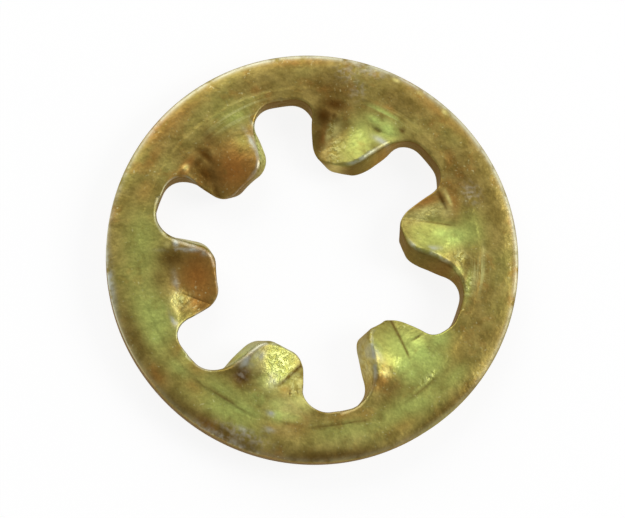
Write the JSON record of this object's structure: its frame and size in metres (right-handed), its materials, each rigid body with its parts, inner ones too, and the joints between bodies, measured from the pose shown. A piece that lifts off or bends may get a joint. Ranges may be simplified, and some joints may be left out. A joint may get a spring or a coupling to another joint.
{
  "type": "internal-tooth lock washer",
  "caption": "Flat stamped ring washer with twisted teeth around its hole, in spring steel with an iridescent yellow passivated zinc finish.",
  "frame": {"origin": "centre of the hole, at the middle of the strip's thickness", "axes": "+Z along the hole's axis, out of the face with the rolled outer edge; +X along the middle of one tooth"},
  "size_m": [0.0066, 0.0066, 0.0008],
  "materials": {
    "yellow_zinc": "satin yellow chromate over zinc plate, iridescent, with pale worn edges"
  },
  "bodies": {
    "root": {"lock_washer": "yellow_zinc"}
  },
  "joints": []
}
